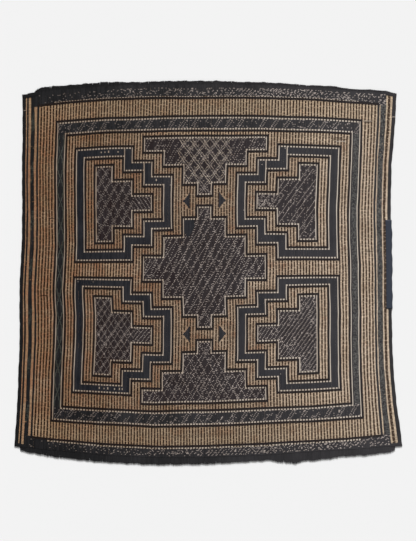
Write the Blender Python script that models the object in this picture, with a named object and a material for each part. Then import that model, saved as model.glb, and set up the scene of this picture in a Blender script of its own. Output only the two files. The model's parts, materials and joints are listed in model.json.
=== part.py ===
"""A reed and leather mat that lies flat, as one field, two side bindings, a patch and two fringes.

The mat is worked in columns, the spaces between its leather cords, and in rows, distances up from the
middle of its centre line. The woven cloth has pulled out of true, so place() turns a column and a row
into a point of the real, uneven mat. The mat lies on z = 0, and its top edge is at +Y.
"""

import random
from bisect import bisect_right

import bmesh
import bpy

MM = 0.001
FLAT_ENOUGH = 0.02  # radians between two faces that are joined into one

# Thicknesses, in millimetres
LEATHER_TOP = 4.0
REED_TOP = 3.2
BINDING_TOP = 4.6
FRINGE_TOP = 3.2
FRINGE_TIP_TOP = 1.8
PATCH_LEATHER = 1.0
GAP = 0.3

# The field's columns, counted in cords from the centre line, and the ribs that its leather cords raise
RIB_STEP = 2.0
RIB_HALF = 0.26
LINE_HALF = 0.19
LEAST_WINDOW = 0.7
LEFT_COLUMN = -63.0
RIGHT_COLUMN = 62.2
LEFT_EDGE_COLUMN = -64.2
RIGHT_EDGE_COLUMN = 63.3
SIDE_GAP = 0.03
BORDER_COLUMN = 53.0

# Rows in millimetres up from the middle
TOP_ROW = 814.0
BOTTOM_ROW = -810.0
END_BAND_TOP = 767.0
END_BAND_BOTTOM = -757.0
BORDER_OUTER_TOP = 691.0
BORDER_OUTER_BOTTOM = -671.0
BORDER_INNER_TOP = 625.0
BORDER_INNER_BOTTOM = -605.0
BORDER_INNER_COLUMN = 49.0
LINE_HALF_ROW = 2.5

# The leather that runs down each side, outside the border, as first and last column
SIDE_BANDS = ((-62.6, -62.0), (-61.3, -60.0), (-59.5, -58.8), (57.8, 58.5), (58.9, 60.0), (61.0, 61.6))

# Where the edges and the border's sides lie, in millimetres from the centre line, at some rows
SIDE_LINES = (
    # row, left edge, left border, right border, right edge
    (814, -819, -666, 676, 827),
    (656, -818, -671, 674, 818),
    (497, -821, -677, 670, 805),
    (286, -820, -676, 661, 801),
    (128, -822, -674, 662, 804),
    (22, -828, -679, 667, 805),
    (-84, -832, -684, 667, 805),
    (-189, -832, -679, 669, 806),
    (-330, -831, -682, 669, 808),
    (-453, -836, -689, 671, 813),
    (-612, -841, -693, 678, 826),
    (-810, -854, -698, 686, 853),
)

# How high four of the rows run, in millimetres, at some columns
ROW_LINES = (
    # column, bottom edge, border's bottom line, border's top line, top edge
    (-64.2, -761, -620, 649, 779),
    (-58.5, -768, -636, 657, 781),
    (-52.5, -778, -648, 665, 789),
    (-35.0, -798, -664, 681, 807),
    (-17.0, -811, -675, 687, 814),
    (1.0, -810, -671, 691, 814),
    (19.5, -799, -661, 690, 814),
    (36.5, -785, -651, 684, 804),
    (53.0, -770, -635, 671, 790),
    (58.0, -762, -629, 665, 785),
    (63.3, -760, -623, 660, 784),
)

# How far across the border some cords stand, as a share of its width. They crowd towards the left.
CORD_COLUMNS = (-53, -49, -22, 22, 49, 53)
CORD_SHARES = (0.0, 0.037, 0.286, 0.696, 0.963, 1.0)
ROWS_OF_LINES = (BOTTOM_ROW, BORDER_OUTER_BOTTOM, BORDER_OUTER_TOP, TOP_ROW)

# Stepped figures that stand at the middle of the width. Each step is a half width and the rows it spans.
MIDDLE_FIGURES = (
    # (half width, upper row, lower row) for each step
    ((22, 603, 535), (15, 535, 471), (8, 471, 392), (3, 392, 339)),
    (
        (3, 297, 246), (8, 246, 165), (15, 165, 80), (22, 80, -36),
        (15, -36, -112), (8, -112, -191), (3, -191, -246),
    ),
    ((3, -293, -345), (8, -345, -429), (15, -429, -506), (22, -506, -572)),
)

# Stepped figures with a straight outer side that stand left and right. Each is given by the columns of
# its straight side and its three steps, and by its rows from the top down.
SIDE_OUTER = (46, 25, 18, 11)
SIDE_INNER = (42, 29, 22, 15)
SIDE_MEDALLION = (39, 32, 25, 18)
SIDE_ROWS = (
    # outer rows, inner rows, medallion rows
    (
        (565, 504, 440, 196, 123, 56),
        (515, 452, 389, 242, 175, 108),
        (486, 420, 356, 275, 205, 139),
    ),
    (
        (-20, -84, -147, -396, -473, -539),
        (-68, -132, -196, -348, -422, -491),
        (-101, -165, -229, -315, -392, -458),
    ),
)

# Fringes: a strip along the mat's end, and locks that are cut unevenly
STRIP_DEPTH = 8.0
LOCK_STEP = 1.0
LOCK_TIP_SHARE = 0.45
LOCK_SHORTEST = 4.0
LOCK_UNEVEN = 0.22
LEFT_LOCK_COLUMN = -62.0
RIGHT_LOCK_COLUMN = 61.0
TOP_LENGTHS = ((-63, 9), (-60, 22), (-56, 34), (-51, 37), (-36, 36), (-24, 30), (-10, 33), (4, 33),
               (12, 28), (28, 26), (34, 22), (43, 25), (50, 15), (56, 21), (60, 17), (62, 10))
BOTTOM_LENGTHS = ((-63, 13), (-60, 24), (-52, 32), (-41, 35), (-30, 35), (-10, 34), (0, 32), (12, 30),
                  (22, 28), (27, 44), (30, 50), (33, 42), (40, 40), (45, 33), (56, 34), (60, 28), (62, 13))

# The patch over the right binding
PATCH_TOP_ROW = 238.0
PATCH_BOTTOM_ROW = -176.0
PATCH_TOP = 5.6
PATCH_OUT = 4.0
PATCH_END_CLEAR = 1.5
END_STEP = 0.5

COLOURS = {
    "leather": (0.016, 0.014, 0.015),
    "old_leather": (0.030, 0.022, 0.018),
    "new_leather": (0.012, 0.014, 0.020),
    "reed": (0.36, 0.22, 0.11),
}
ROUGHNESS = {"leather": 0.6, "old_leather": 0.75, "new_leather": 0.5, "reed": 0.7}


def between(stations, values, at):
    """The value at a place among stations in rising order, on straight lines between them."""
    i = min(max(bisect_right(stations, at), 1), len(stations) - 1)
    share = (at - stations[i - 1]) / (stations[i] - stations[i - 1])
    return values[i - 1] + (values[i] - values[i - 1]) * share


def table(rows):
    """A table's first column and its other columns, with the first column rising."""
    rows = sorted(rows)
    return [row[0] for row in rows], [[row[i] for row in rows] for i in range(1, len(rows[0]))]


SIDE_STATIONS, SIDE_VALUES = table(SIDE_LINES)
ROW_STATIONS, ROW_VALUES = table(ROW_LINES)


def place(column, row):
    """The point of the uneven mat, in millimetres, at a column and a row."""
    left_edge, left, right, right_edge = [between(SIDE_STATIONS, values, row) for values in SIDE_VALUES]
    if column < -BORDER_COLUMN:
        x = between((LEFT_EDGE_COLUMN, -BORDER_COLUMN), (left_edge, left), column)
    elif column > BORDER_COLUMN:
        x = between((BORDER_COLUMN, RIGHT_EDGE_COLUMN), (right, right_edge), column)
    else:
        x = left + (right - left) * between(CORD_COLUMNS, CORD_SHARES, column)
    ys = [between(ROW_STATIONS, values, column) for values in ROW_VALUES]
    return x, between(ROWS_OF_LINES, ys, row)


def new_material(name):
    material = bpy.data.materials.new(name)
    material.use_nodes = True
    shader = material.node_tree.nodes["Principled BSDF"]
    shader.inputs["Base Color"].default_value = (*COLOURS[name], 1.0)
    shader.inputs["Roughness"].default_value = ROUGHNESS[name]
    shader.inputs["Metallic"].default_value = 0.0
    return material


def new_object(name, mesh, material, collection):
    bmesh.ops.recalc_face_normals(mesh, faces=mesh.faces)
    data = bpy.data.meshes.new(name)
    mesh.to_mesh(data)
    mesh.free()
    data.materials.append(material)
    made = bpy.data.objects.new(name, data)
    collection.objects.link(made)
    return made


def side_figure(columns, rows):
    """A side figure as boxes of columns and rows, from its straight side and its steps."""
    outer, *steps = columns
    boxes = []
    for step, (upper, lower) in zip(steps, zip(rows[:3], rows[:2:-1])):
        boxes.append((step, outer, lower, upper))
    return boxes


def inside(boxes, column, row):
    return any(left < column < right and low < row < high for left, right, low, high in boxes)


def grown(boxes):
    """The boxes with the dark line around them, which lies outside the steps."""
    return [
        (left - LINE_HALF, right + LINE_HALF, low - LINE_HALF_ROW, high + LINE_HALF_ROW)
        for left, right, low, high in boxes
    ]


def shrunk(boxes):
    """Boxes drawn in by the dark line, for the inner side of a band."""
    return [
        (left + LINE_HALF, right - LINE_HALF, low + LINE_HALF_ROW, high - LINE_HALF_ROW)
        for left, right, low, high in boxes
    ]


def worked_areas():
    """The boxes that leather covers, and for each band the boxes of the open middle that it runs around."""
    solid = []
    for steps in MIDDLE_FIGURES:
        solid.append((grown([(-half, half, low, high) for half, high, low in steps]), []))
    for outer_rows, inner_rows, medallion_rows in SIDE_ROWS:
        solid.append((
            grown(side_figure(SIDE_OUTER, outer_rows)),
            shrunk(side_figure(SIDE_INNER, inner_rows)),
        ))
        solid.append((grown(side_figure(SIDE_MEDALLION, medallion_rows)), []))
    border = [(-BORDER_COLUMN, BORDER_COLUMN, BORDER_OUTER_BOTTOM, BORDER_OUTER_TOP)]
    middle = [(-BORDER_INNER_COLUMN, BORDER_INNER_COLUMN, BORDER_INNER_BOTTOM, BORDER_INNER_TOP)]
    solid.append((grown(border), shrunk(middle)))
    return solid


def leather_at(areas, column, row):
    """Whether the worked leather covers a column and a row. The side figures mirror across the middle."""
    if row > END_BAND_TOP or row < END_BAND_BOTTOM:
        return True
    if any(left <= column <= right for left, right in SIDE_BANDS):
        return True
    for covered, opened in areas:
        for at in (column, abs(column)):
            if inside(covered, at, row) and not inside(opened, at, row):
                return True
    return False


def rib_at(column):
    """Whether a raised cord runs along a column. The cords stand at every whole RIB_STEP."""
    nearest = round(column / RIB_STEP) * RIB_STEP
    return abs(column - nearest) < RIB_HALF


def field_lines(areas):
    """The columns and the rows at which the field's height may change, in rising order."""
    columns = {LEFT_COLUMN, RIGHT_COLUMN}
    rows = {BOTTOM_ROW, END_BAND_BOTTOM, END_BAND_TOP, TOP_ROW}
    for band in SIDE_BANDS:
        columns.update(band)
    for covered, opened in areas:
        for left, right, low, high in covered + opened:
            columns.update((left, right, -left, -right))
            rows.update((low, high))
    for rib in range(round(LEFT_COLUMN / RIB_STEP), round(RIGHT_COLUMN / RIB_STEP) + 1):
        columns.update((rib * RIB_STEP - RIB_HALF, rib * RIB_STEP + RIB_HALF))
    rows.update(station for station in SIDE_STATIONS if BOTTOM_ROW < station < TOP_ROW)
    columns.update(ROW_STATIONS + list(CORD_COLUMNS))
    return (
        sorted(c for c in columns if LEFT_COLUMN <= c <= RIGHT_COLUMN),
        sorted(r for r in rows if BOTTOM_ROW <= r <= TOP_ROW),
    )


def window_cells(columns, rows, areas):
    """For each cell between the lines, whether the reeds show there. Slits too narrow to show are closed."""
    cells = []
    for low, high in zip(rows, rows[1:]):
        row = (low + high) / 2
        middles = [(left + right) / 2 for left, right in zip(columns, columns[1:])]
        opened = [not leather_at(areas, c, row) and not rib_at(c) for c in middles]
        start = None
        for i in range(len(opened) + 1):
            if i < len(opened) and opened[i]:
                start = i if start is None else start
            elif start is not None:
                if columns[i] - columns[start] < LEAST_WINDOW:
                    opened[start:i] = [False] * (i - start)
                start = None
        cells.append(opened)
    return cells


def make_field(collection, material):
    """One slab whose top steps down to the reeds between its raised cords and worked figures."""
    areas = worked_areas()
    columns, rows = field_lines(areas)
    window = window_cells(columns, rows, areas)
    across, along = len(columns) - 1, len(rows) - 1
    mesh = bmesh.new()
    points = {}

    def point(i, j, height):
        if (i, j, height) not in points:
            x, y = place(columns[i], rows[j])
            points[i, j, height] = mesh.verts.new((x * MM, y * MM, height * MM))
        return points[i, j, height]

    def height_of(i, j):
        if not (0 <= i < across and 0 <= j < along):
            return 0.0
        return REED_TOP if window[j][i] else LEATHER_TOP

    for j in range(along):
        for i in range(across):
            top = height_of(i, j)
            corners = ((i, j), (i + 1, j), (i + 1, j + 1), (i, j + 1))
            mesh.faces.new([point(*corner, top) for corner in corners])
            mesh.faces.new([point(*corner, 0.0) for corner in reversed(corners)])
            sides = (
                (height_of(i, j - 1), corners[0], corners[1]),
                (height_of(i + 1, j), corners[1], corners[2]),
                (height_of(i, j + 1), corners[2], corners[3]),
                (height_of(i - 1, j), corners[3], corners[0]),
            )
            for beside, first, last in sides:
                if beside < top:
                    mesh.faces.new(
                        (point(*last, top), point(*first, top), point(*first, beside), point(*last, beside))
                    )
    bmesh.ops.dissolve_limit(
        mesh, angle_limit=FLAT_ENOUGH, use_dissolve_boundaries=False, verts=mesh.verts, edges=mesh.edges
    )
    bmesh.ops.triangulate(mesh, faces=mesh.faces, quad_method="BEAUTY", ngon_method="EAR_CLIP")
    return new_object("mat_field", mesh, material, collection)


def lofted(sections):
    """A closed mesh from cross-sections in millimetres. Each gives the same corners in order around it."""
    mesh = bmesh.new()
    rings = [[mesh.verts.new([n * MM for n in corner]) for corner in section] for section in sections]
    for a, b in zip(rings, rings[1:]):
        for i in range(len(a)):
            n = (i + 1) % len(a)
            mesh.faces.new((a[i], a[n], b[n], b[i]))
    mesh.faces.new(reversed(rings[0]))
    mesh.faces.new(rings[-1])
    return mesh


def binding_section(inner, outer, row, low, high, lift=0.0):
    x_in, y_in = place(inner, row)
    x_out, y_out = place(outer, row)
    y_in, y_out = y_in + lift, y_out + lift
    return ((x_in, y_in, low), (x_out, y_out, low), (x_out, y_out, high), (x_in, y_in, high))


def rows_between(low, high):
    """The two rows and the stations of the side lines that lie between them, from the bottom up."""
    return [low] + [row for row in SIDE_STATIONS if low < row < high] + [high]


def make_binding(name, inner, outer, collection, material):
    """A leather strip along one side."""
    sections = [
        binding_section(inner, outer, row, 0.0, BINDING_TOP) for row in rows_between(BOTTOM_ROW, TOP_ROW)
    ]
    return new_object(name, lofted(sections), material, collection)


def make_patched_binding(name, inner, outer, collection, material):
    """A leather strip along one side that is thinner where the patch is folded around it."""
    low, high = PATCH_BOTTOM_ROW - PATCH_END_CLEAR, PATCH_TOP_ROW + PATCH_END_CLEAR
    thin = PATCH_LEATHER + GAP, PATCH_TOP - PATCH_LEATHER - GAP
    parts = (
        (rows_between(BOTTOM_ROW, low), (0.0, BINDING_TOP), 0.0),
        (rows_between(low, high), thin, END_STEP),
        (rows_between(high, TOP_ROW), (0.0, BINDING_TOP), 2 * END_STEP),
    )
    sections = []
    for rows, (bottom, top), first_lift in parts:
        for row in rows:
            lift = first_lift if row == rows[0] else 0.0
            sections.append(binding_section(inner, outer, row, bottom, top, lift))
    return new_object(name, lofted(sections), material, collection)


def make_patch(inner, outer, collection, material):
    """A leather piece folded over the right binding, as a channel that is open towards the mat."""
    sections = []
    for row in rows_between(PATCH_BOTTOM_ROW, PATCH_TOP_ROW):
        x_in, y_in = place(inner, row)
        x_out, y_out = place(outer, row)
        fold = x_out + GAP
        top_lip, bottom_lip = PATCH_TOP - PATCH_LEATHER, PATCH_LEATHER
        channel = (
            (x_in, 0.0), (fold + PATCH_OUT, 0.0), (fold + PATCH_OUT, PATCH_TOP), (x_in, PATCH_TOP),
            (x_in, top_lip), (fold, top_lip), (fold, bottom_lip), (x_in, bottom_lip),
        )
        sections.append([(x, y_out, z) for x, z in channel])
    return new_object("edge_patch", lofted(sections), material, collection)


def make_fringe(name, row, outward, lengths, seed, collection, material):
    """A strip along an end of the mat, with uneven locks that lie flat beyond it."""
    chance = random.Random(seed)
    stations, (values,) = table(lengths)
    count = round((RIGHT_LOCK_COLUMN - LEFT_LOCK_COLUMN) / LOCK_STEP)
    mesh = bmesh.new()

    def points(x, y, top):
        low = mesh.verts.new((x * MM, y * MM, 0.0))
        high = mesh.verts.new((x * MM, y * MM, top * MM))
        return low, high

    def end_of_mat(column):
        x, y = place(column, row)
        return x, y + outward * GAP

    roots = []
    for k in range(count + 1):
        x, y = end_of_mat(LEFT_LOCK_COLUMN + k * LOCK_STEP)
        roots.append((x, y + outward * STRIP_DEPTH))
    root_points = [points(x, y, FRINGE_TOP) for x, y in roots]
    near = [points(*end_of_mat(LEFT_LOCK_COLUMN + k * LOCK_STEP), FRINGE_TOP) for k in range(count + 1)]
    for k in range(count):
        column = LEFT_LOCK_COLUMN + (k + 0.5) * LOCK_STEP
        full = between(stations, values, column) - STRIP_DEPTH
        length = max(full * (1 - LOCK_UNEVEN * chance.random()), LOCK_SHORTEST)
        (x0, y0), (x1, y1) = roots[k], roots[k + 1]
        lean = chance.uniform(-1.5, 1.5)
        half = (x1 - x0) * LOCK_TIP_SHARE / 2
        x, y = (x0 + x1) / 2 + lean, (y0 + y1) / 2 + outward * length
        a, b = root_points[k], root_points[k + 1]
        c, d = points(x + half, y, FRINGE_TIP_TOP), points(x - half, y, FRINGE_TIP_TOP)
        mesh.faces.new((a[0], b[0], c[0], d[0]))
        mesh.faces.new((a[1], b[1], c[1], d[1]))
        for (p, q), (r, s) in ((b, c), (c, d), (d, a)):
            mesh.faces.new((p, q, s, r))
        n, m = near[k], near[k + 1]
        mesh.faces.new((n[0], m[0], b[0], a[0]))
        mesh.faces.new((n[1], m[1], b[1], a[1]))
        mesh.faces.new((n[0], m[0], m[1], n[1]))
    for n, a in ((near[0], root_points[0]), (near[-1], root_points[-1])):
        mesh.faces.new((n[0], a[0], a[1], n[1]))
    return new_object(name, mesh, material, collection)


def main():
    for old in list(bpy.data.objects):
        bpy.data.objects.remove(old)
    collection = bpy.data.collections.new("reed_and_leather_mat")
    bpy.context.scene.collection.children.link(collection)
    materials = {name: new_material(name) for name in COLOURS}
    make_field(collection, materials["reed"])
    left_inner, right_inner = LEFT_COLUMN - SIDE_GAP, RIGHT_COLUMN + SIDE_GAP
    leather = materials["leather"]
    make_binding("binding_left", left_inner, LEFT_EDGE_COLUMN, collection, leather)
    make_patched_binding("binding_right", right_inner, RIGHT_EDGE_COLUMN, collection, leather)
    make_patch(right_inner, RIGHT_EDGE_COLUMN, collection, materials["new_leather"])
    make_fringe("fringe_top", TOP_ROW, 1, TOP_LENGTHS, 3, collection, materials["old_leather"])
    make_fringe("fringe_bottom", BOTTOM_ROW, -1, BOTTOM_LENGTHS, 8, collection, materials["old_leather"])


main()
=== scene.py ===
"""Dresses a reed and leather mat: reeds, leather cords, worked leather figures, bindings and fringes.

The mat is worked in columns, the spaces between its leather cords, and in rows, distances up from the
middle of its centre line. Each space holds three thongs: the cord itself and two fillers. The Draft
says which reeds each thong covers, and place() turns a column and a row into a point of the uneven mat.
"""

import json
import math

import bmesh
import bpy
import numpy as np
from bpy.props import FloatProperty, FloatVectorProperty, IntProperty, PointerProperty
from mathutils import Matrix

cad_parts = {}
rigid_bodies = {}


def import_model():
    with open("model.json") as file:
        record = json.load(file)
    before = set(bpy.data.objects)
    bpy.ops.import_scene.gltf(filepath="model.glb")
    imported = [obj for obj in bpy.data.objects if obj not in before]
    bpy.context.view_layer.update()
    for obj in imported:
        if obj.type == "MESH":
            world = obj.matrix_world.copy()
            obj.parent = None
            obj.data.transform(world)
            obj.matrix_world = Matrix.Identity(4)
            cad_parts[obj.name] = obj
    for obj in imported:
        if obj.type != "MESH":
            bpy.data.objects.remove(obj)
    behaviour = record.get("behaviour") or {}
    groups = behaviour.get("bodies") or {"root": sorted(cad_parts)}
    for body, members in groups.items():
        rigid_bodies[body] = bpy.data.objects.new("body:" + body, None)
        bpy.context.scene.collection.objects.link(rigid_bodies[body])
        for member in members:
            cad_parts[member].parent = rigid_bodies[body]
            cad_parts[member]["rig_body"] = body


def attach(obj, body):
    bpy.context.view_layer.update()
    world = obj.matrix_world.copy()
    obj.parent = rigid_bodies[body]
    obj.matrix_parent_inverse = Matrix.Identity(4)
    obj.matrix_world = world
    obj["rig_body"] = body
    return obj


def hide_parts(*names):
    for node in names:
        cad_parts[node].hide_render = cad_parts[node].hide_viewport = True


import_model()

bl_info = {
    "name": "Reed and Leather Mat",
    "version": (1, 0, 0),
    "blender": (4, 5, 0),
    "location": "3D View > Sidebar > Mat",
    "description": "Makes a flat mat of reeds held by leather cords, with leather-worked figures",
    "category": "Object",
}

MM = 0.001
PHOTO_SIZE = (416, 541)
MM_PER_PIXEL = 4.4

# The stage: the camera's place in metres, the lights' strengths, and the window's angles in degrees
CAMERA_PLACE = (-0.0026, 0.011, 7.0)
ROOM_LIGHT = 0.30
WINDOW_LIGHT = 5.15
WINDOW_ANGLES = (-60, 4, 0)
WINDOW_WIDTH = 24

# Columns, counted in cords from the centre line
LEFT_COLUMN = -63.0
RIGHT_COLUMN = 62.2
LEFT_EDGE_COLUMN = -64.1
RIGHT_EDGE_COLUMN = 63.3
BORDER_COLUMN = 53
BORDER_INNER_COLUMN = 49
END_COLUMNS = (-60, 60)

# Rows in millimetres up from the middle
TOP_ROW = 814.0
BOTTOM_ROW = -810.0
END_BAND_TOP = 770.0
END_BAND_BOTTOM = -760.2
BORDER_OUTER_TOP = 691.0
BORDER_OUTER_BOTTOM = -671.0
BORDER_INNER_TOP = 628.0
BORDER_INNER_BOTTOM = -605.0

# Where the edges and the border's sides lie, in millimetres from the centre line, at some rows
SIDE_LINES = (
    # row, left edge, left border, right border, right edge
    (814, -819, -666, 676, 827),
    (656, -818, -671, 674, 818),
    (497, -821, -677, 670, 805),
    (286, -820, -676, 661, 801),
    (128, -822, -674, 662, 804),
    (22, -828, -679, 667, 805),
    (-84, -832, -684, 667, 805),
    (-189, -832, -679, 669, 806),
    (-330, -831, -682, 669, 808),
    (-453, -836, -689, 671, 813),
    (-612, -841, -693, 678, 826),
    (-810, -854, -698, 686, 853),
)

# How high four of the rows run, in millimetres, at some columns
ROW_LINES = (
    # column, bottom edge, border's bottom line, border's top line, top edge
    (-64.1, -761, -620, 649, 779),
    (-58.5, -768, -636, 657, 781),
    (-52.5, -778, -648, 665, 789),
    (-35.0, -798, -664, 681, 807),
    (-17.0, -811, -675, 687, 814),
    (1.0, -810, -671, 691, 814),
    (19.5, -799, -661, 690, 814),
    (36.5, -785, -651, 684, 804),
    (53.0, -770, -635, 671, 790),
    (58.0, -762, -629, 665, 785),
    (63.3, -760, -623, 660, 784),
)

# How far across the mat some cords stand, as shares of the width between the border's sides
CORD_COLUMNS = (-53, -49, -22, 22, 49, 53)
CORD_SHARES = (0.0, 0.037, 0.286, 0.696, 0.963, 1.0)

# The rows whose height the columns of ROW_LINES give
ROWS_OF_LINES = (BOTTOM_ROW, BORDER_OUTER_BOTTOM, BORDER_OUTER_TOP, TOP_ROW)

# Stepped figures at the middle of the width: half width, upper row and lower row of each step
MIDDLE_FIGURES = (
    ((22, 606, 535), (15, 535, 471), (8, 471, 392), (3, 392, 339)),
    (
        (3, 297, 246), (8, 246, 165), (15, 165, 80), (22, 80, -36),
        (15, -36, -112), (8, -112, -191), (3, -191, -246),
    ),
    ((3, -293, -345), (8, -345, -429), (15, -429, -506), (22, -506, -572)),
)

# Stepped figures with a straight outer side, left and right
SIDE_OUTER = (46, 25, 18, 11)
SIDE_INNER = (42, 29, 22, 15)
SIDE_MEDALLION = (39, 32, 25, 18)
SIDE_ROWS = (
    # outer rows, inner rows, medallion rows
    (
        (565, 504, 440, 196, 123, 56),
        (515, 452, 389, 242, 175, 108),
        (486, 420, 356, 275, 205, 139),
    ),
    (
        (-20, -84, -147, -396, -473, -539),
        (-68, -132, -196, -348, -422, -491),
        (-101, -165, -229, -315, -392, -458),
    ),
)

# The leather down each side, outside the border, and the columns inside all of it: first and last column
SIDE_BANDS = ((-62.4, -62.3), (-61.1, -60.3), (-59.05, -58.95), (57.95, 58.05), (58.95, 60.05))
BROWN_BAND = (60.95, 61.4)
INSIDE_COLUMNS = (-58.9, 57.9)

# Where leather is rubbed down to grey, or kept among it: first and last column, and two swinging lines' middle
RUBBED_RIGHT = (50.1, 60.9)
KEPT_RIGHT = (57.1, 58.4)
RUBBED_LEFT = (-61.4, -60.1)
SWING_COLUMN = -51

# How far the fringes reach from the mat's end, in millimetres, at some columns
TOP_LENGTHS = (
    (-63, 9), (-60.3, 15), (-59, 30), (-57.9, 38), (-51, 36), (-36, 36), (-24, 30), (-10, 33), (4, 33),
    (12, 28), (28, 26), (34, 22), (43, 25), (50, 15), (56, 21), (60, 17), (62, 10),
)
BOTTOM_LENGTHS = (
    (-63, 13), (-60, 24), (-52, 32), (-41, 35), (-30, 35), (-10, 34), (0, 32), (12, 30), (22, 28),
    (27, 44), (30, 50), (33, 42), (40, 40), (45, 33), (56, 34), (60, 28), (62, 13),
)

# A fringe thong's path, from under the end band out: shares of its reach, heights and half widths
FRINGE_SHARES = np.array([-0.12, 0.0, 0.35, 0.7, 1.0])
FRINGE_HEIGHTS = np.array([2.6, 2.7, 3.0, 3.9, 4.5])
FRINGE_HALVES = np.array([1.9, 1.9, 1.9, 1.9, 1.6])

# Where the fringes' thongs stand: first and last column, and the step between two thongs
FRINGE_COLUMNS = (-62.3, 61.2)
FRINGE_STEP = 1 / 9

# The newer leather over the right binding, and how much higher it lies
PATCH_COLUMNS = (RIGHT_COLUMN - 0.6, RIGHT_EDGE_COLUMN + 0.25)
PATCH_ROWS = (-176.0, 238.0)
PATCH_RISE = 0.8

# Dark wedges that point away from the centre line: base and tip columns, middle rows and half height
WEDGE_COLUMNS = (5.4, 7.6)
WEDGE_ROWS = (319.0, -268.0)
WEDGE_HALF = 34.0

# Light joints across the upper stepped bands: column, inner row and outer row
JOINTS = ((29, 515, 565), (22, 452, 504))

# A plain piece in the middle figure, pointed at its lower end: middle column, half width and rows
PLAIN_COLUMN = -5.7
PLAIN_HALF = 2.3
PLAIN_ROWS = (155.0, 238.0)

# The top figure's crossed lines: half width in columns, and the rows where they are bright
CROSSED_HALF = 9.5
BRIGHT_ROWS = (392.0, 600.0)

# The side figures' tips, which have a weave of their own, are nearer to the centre line than this
TIP_COLUMN = 25

# The end bands' dark line and dotted line, from column to column
END_LINE_COLUMNS = (-59, 58)
END_DOT_COLUMNS = (-54, 52)

# How much of the end bands' slanting stitches can be seen at some columns, and the last rows with any
WORKED_STATIONS = (-62, -45, -25, -8, 5, 40, 52, 62)
WORKED_SHARES = (0.08, 0.18, 0.28, 0.4, 0.52, 0.56, 0.5, 0.4)
WORKED_ROWS = (-804, 816)

# Leather folded over the mat's four corners: columns and rows of three points along each fold
EARS = (
    ((-64.1, 812), (-61.5, 814), (-59.2, 822)),
    ((60.0, 821), (61.6, 816), (63.2, 811)),
    ((-64.1, -803), (-62.5, -804), (-60.8, -808)),
    ((60.2, -806), (61.8, -804), (63.2, -803)),
)
EAR_HALF = 8.0

# Threads of ties and mends: x from, x to and y in millimetres, and whether pale
THREADS = (
    (-813, -799, 714, True), (806, 821, 686, True), (681, 718, 668, True), (684, 716, 664, False),
    (-743, -707, -99, False), (537, 590, 594, False), (545, 612, 586, False), (560, 604, 579, True),
    (-700, -676, 240, False), (690, 722, 96, False),
)

# Threads that start further out than this lie on a binding
ON_BINDING = 780

# Single pale stitches of repairs in the left bands: column and row
REPAIRS = (
    (-36.66, 540), (-35.34, 540), (-34, 541), (-30.66, 540), (-17, 413),
    (-36.34, -512), (-34.66, -513), (-33.34, -512), (-31, -513), (-29.34, -512), (-28.34, -512),
)

# The thongs of one column: where each stands in it, and its half width in columns
THONG_PLACES = (0.0, 0.345, 0.655)
THONG_HALVES = (0.19, 0.16, 0.16)

# How far a thong spreads over bare reeds at its side, in columns
SPREAD = 0.06
SIDE_SPREAD = 0.13

# The dark and light lines round each figure, in thongs and reeds, and half the dark one in millimetres
DARK_THONGS = 2
DARK_REEDS = 3
LIGHT_THONGS = 1
LIGHT_REEDS = 2
HALF_LINE = 4.8

# Each kind of leather worked through the reeds
LEATHERS = {
    # kind: name, colour, rubbed colour (also the colour of the painted sheen towards the right), roughness,
    # share rubbed and sheened, lift, gloss and height in millimetres
    "lines": ("outline_leather", "line", "worn", 0.6, 0.25, 0.0, 0.08, 3.7),
    "bands": ("band_leather", "band", "worn", 0.5, 0.55, 0.0, 0.12, 3.7),
    "fields": ("figure_leather", "field", "worn", 0.6, 0.5, 0.0, 0.06, 3.7),
    "border": ("border_leather", "edge", "worn", 0.6, 0.5, 0.0, 0.12, 3.7),
    "ends": ("end_leather", "edge", "worn", 0.6, 0.5, 0.0, 0.12, 3.7),
    "sides": ("side_leather", "edge", "worn", 0.6, 0.4, 0.0, 0.12, 3.7),
    "cords": ("cord_leather", "cord", "cord_worn", 0.7, 0.8, 0.0, 0.04, 3.55),
    "rubbed": ("rubbed_leather", "rubbed_dark", "rubbed", 0.7, 1.0, 0.0, 0.12, 3.7),
    "light": ("light_stitch", "light_stained", "light", 0.7, 1.0, 0.1, 0.12, 3.6),
    "specks": ("dull_stitch", "speck_dark", "speck", 0.7, 1.0, 0.1, 0.12, 3.6),
}

# The kinds that lie on the reeds, and whose ends don't go down between them
LAID_ON = ("light", "rubbed", "specks")

# How many reeds a stitch of a cord may cover
STITCH_REEDS = (3, 4, 5, 6, 8, 10)


def between(stations, values, at):
    """The values at places among stations in rising order, on straight lines between them."""
    stations = np.asarray(stations, float)
    values = np.asarray(values, float)
    i = np.clip(np.searchsorted(stations, at, side="right"), 1, len(stations) - 1)
    share = (at - stations[i - 1]) / (stations[i] - stations[i - 1])
    return values[i - 1] + (values[i] - values[i - 1]) * share


def table(rows):
    """A table's first column and its other columns, with the first column rising."""
    rows = sorted(rows)
    return [row[0] for row in rows], [[row[i] for row in rows] for i in range(1, len(rows[0]))]


SIDE_STATIONS, SIDE_VALUES = table(SIDE_LINES)
ROW_STATIONS, ROW_VALUES = table(ROW_LINES)


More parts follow.
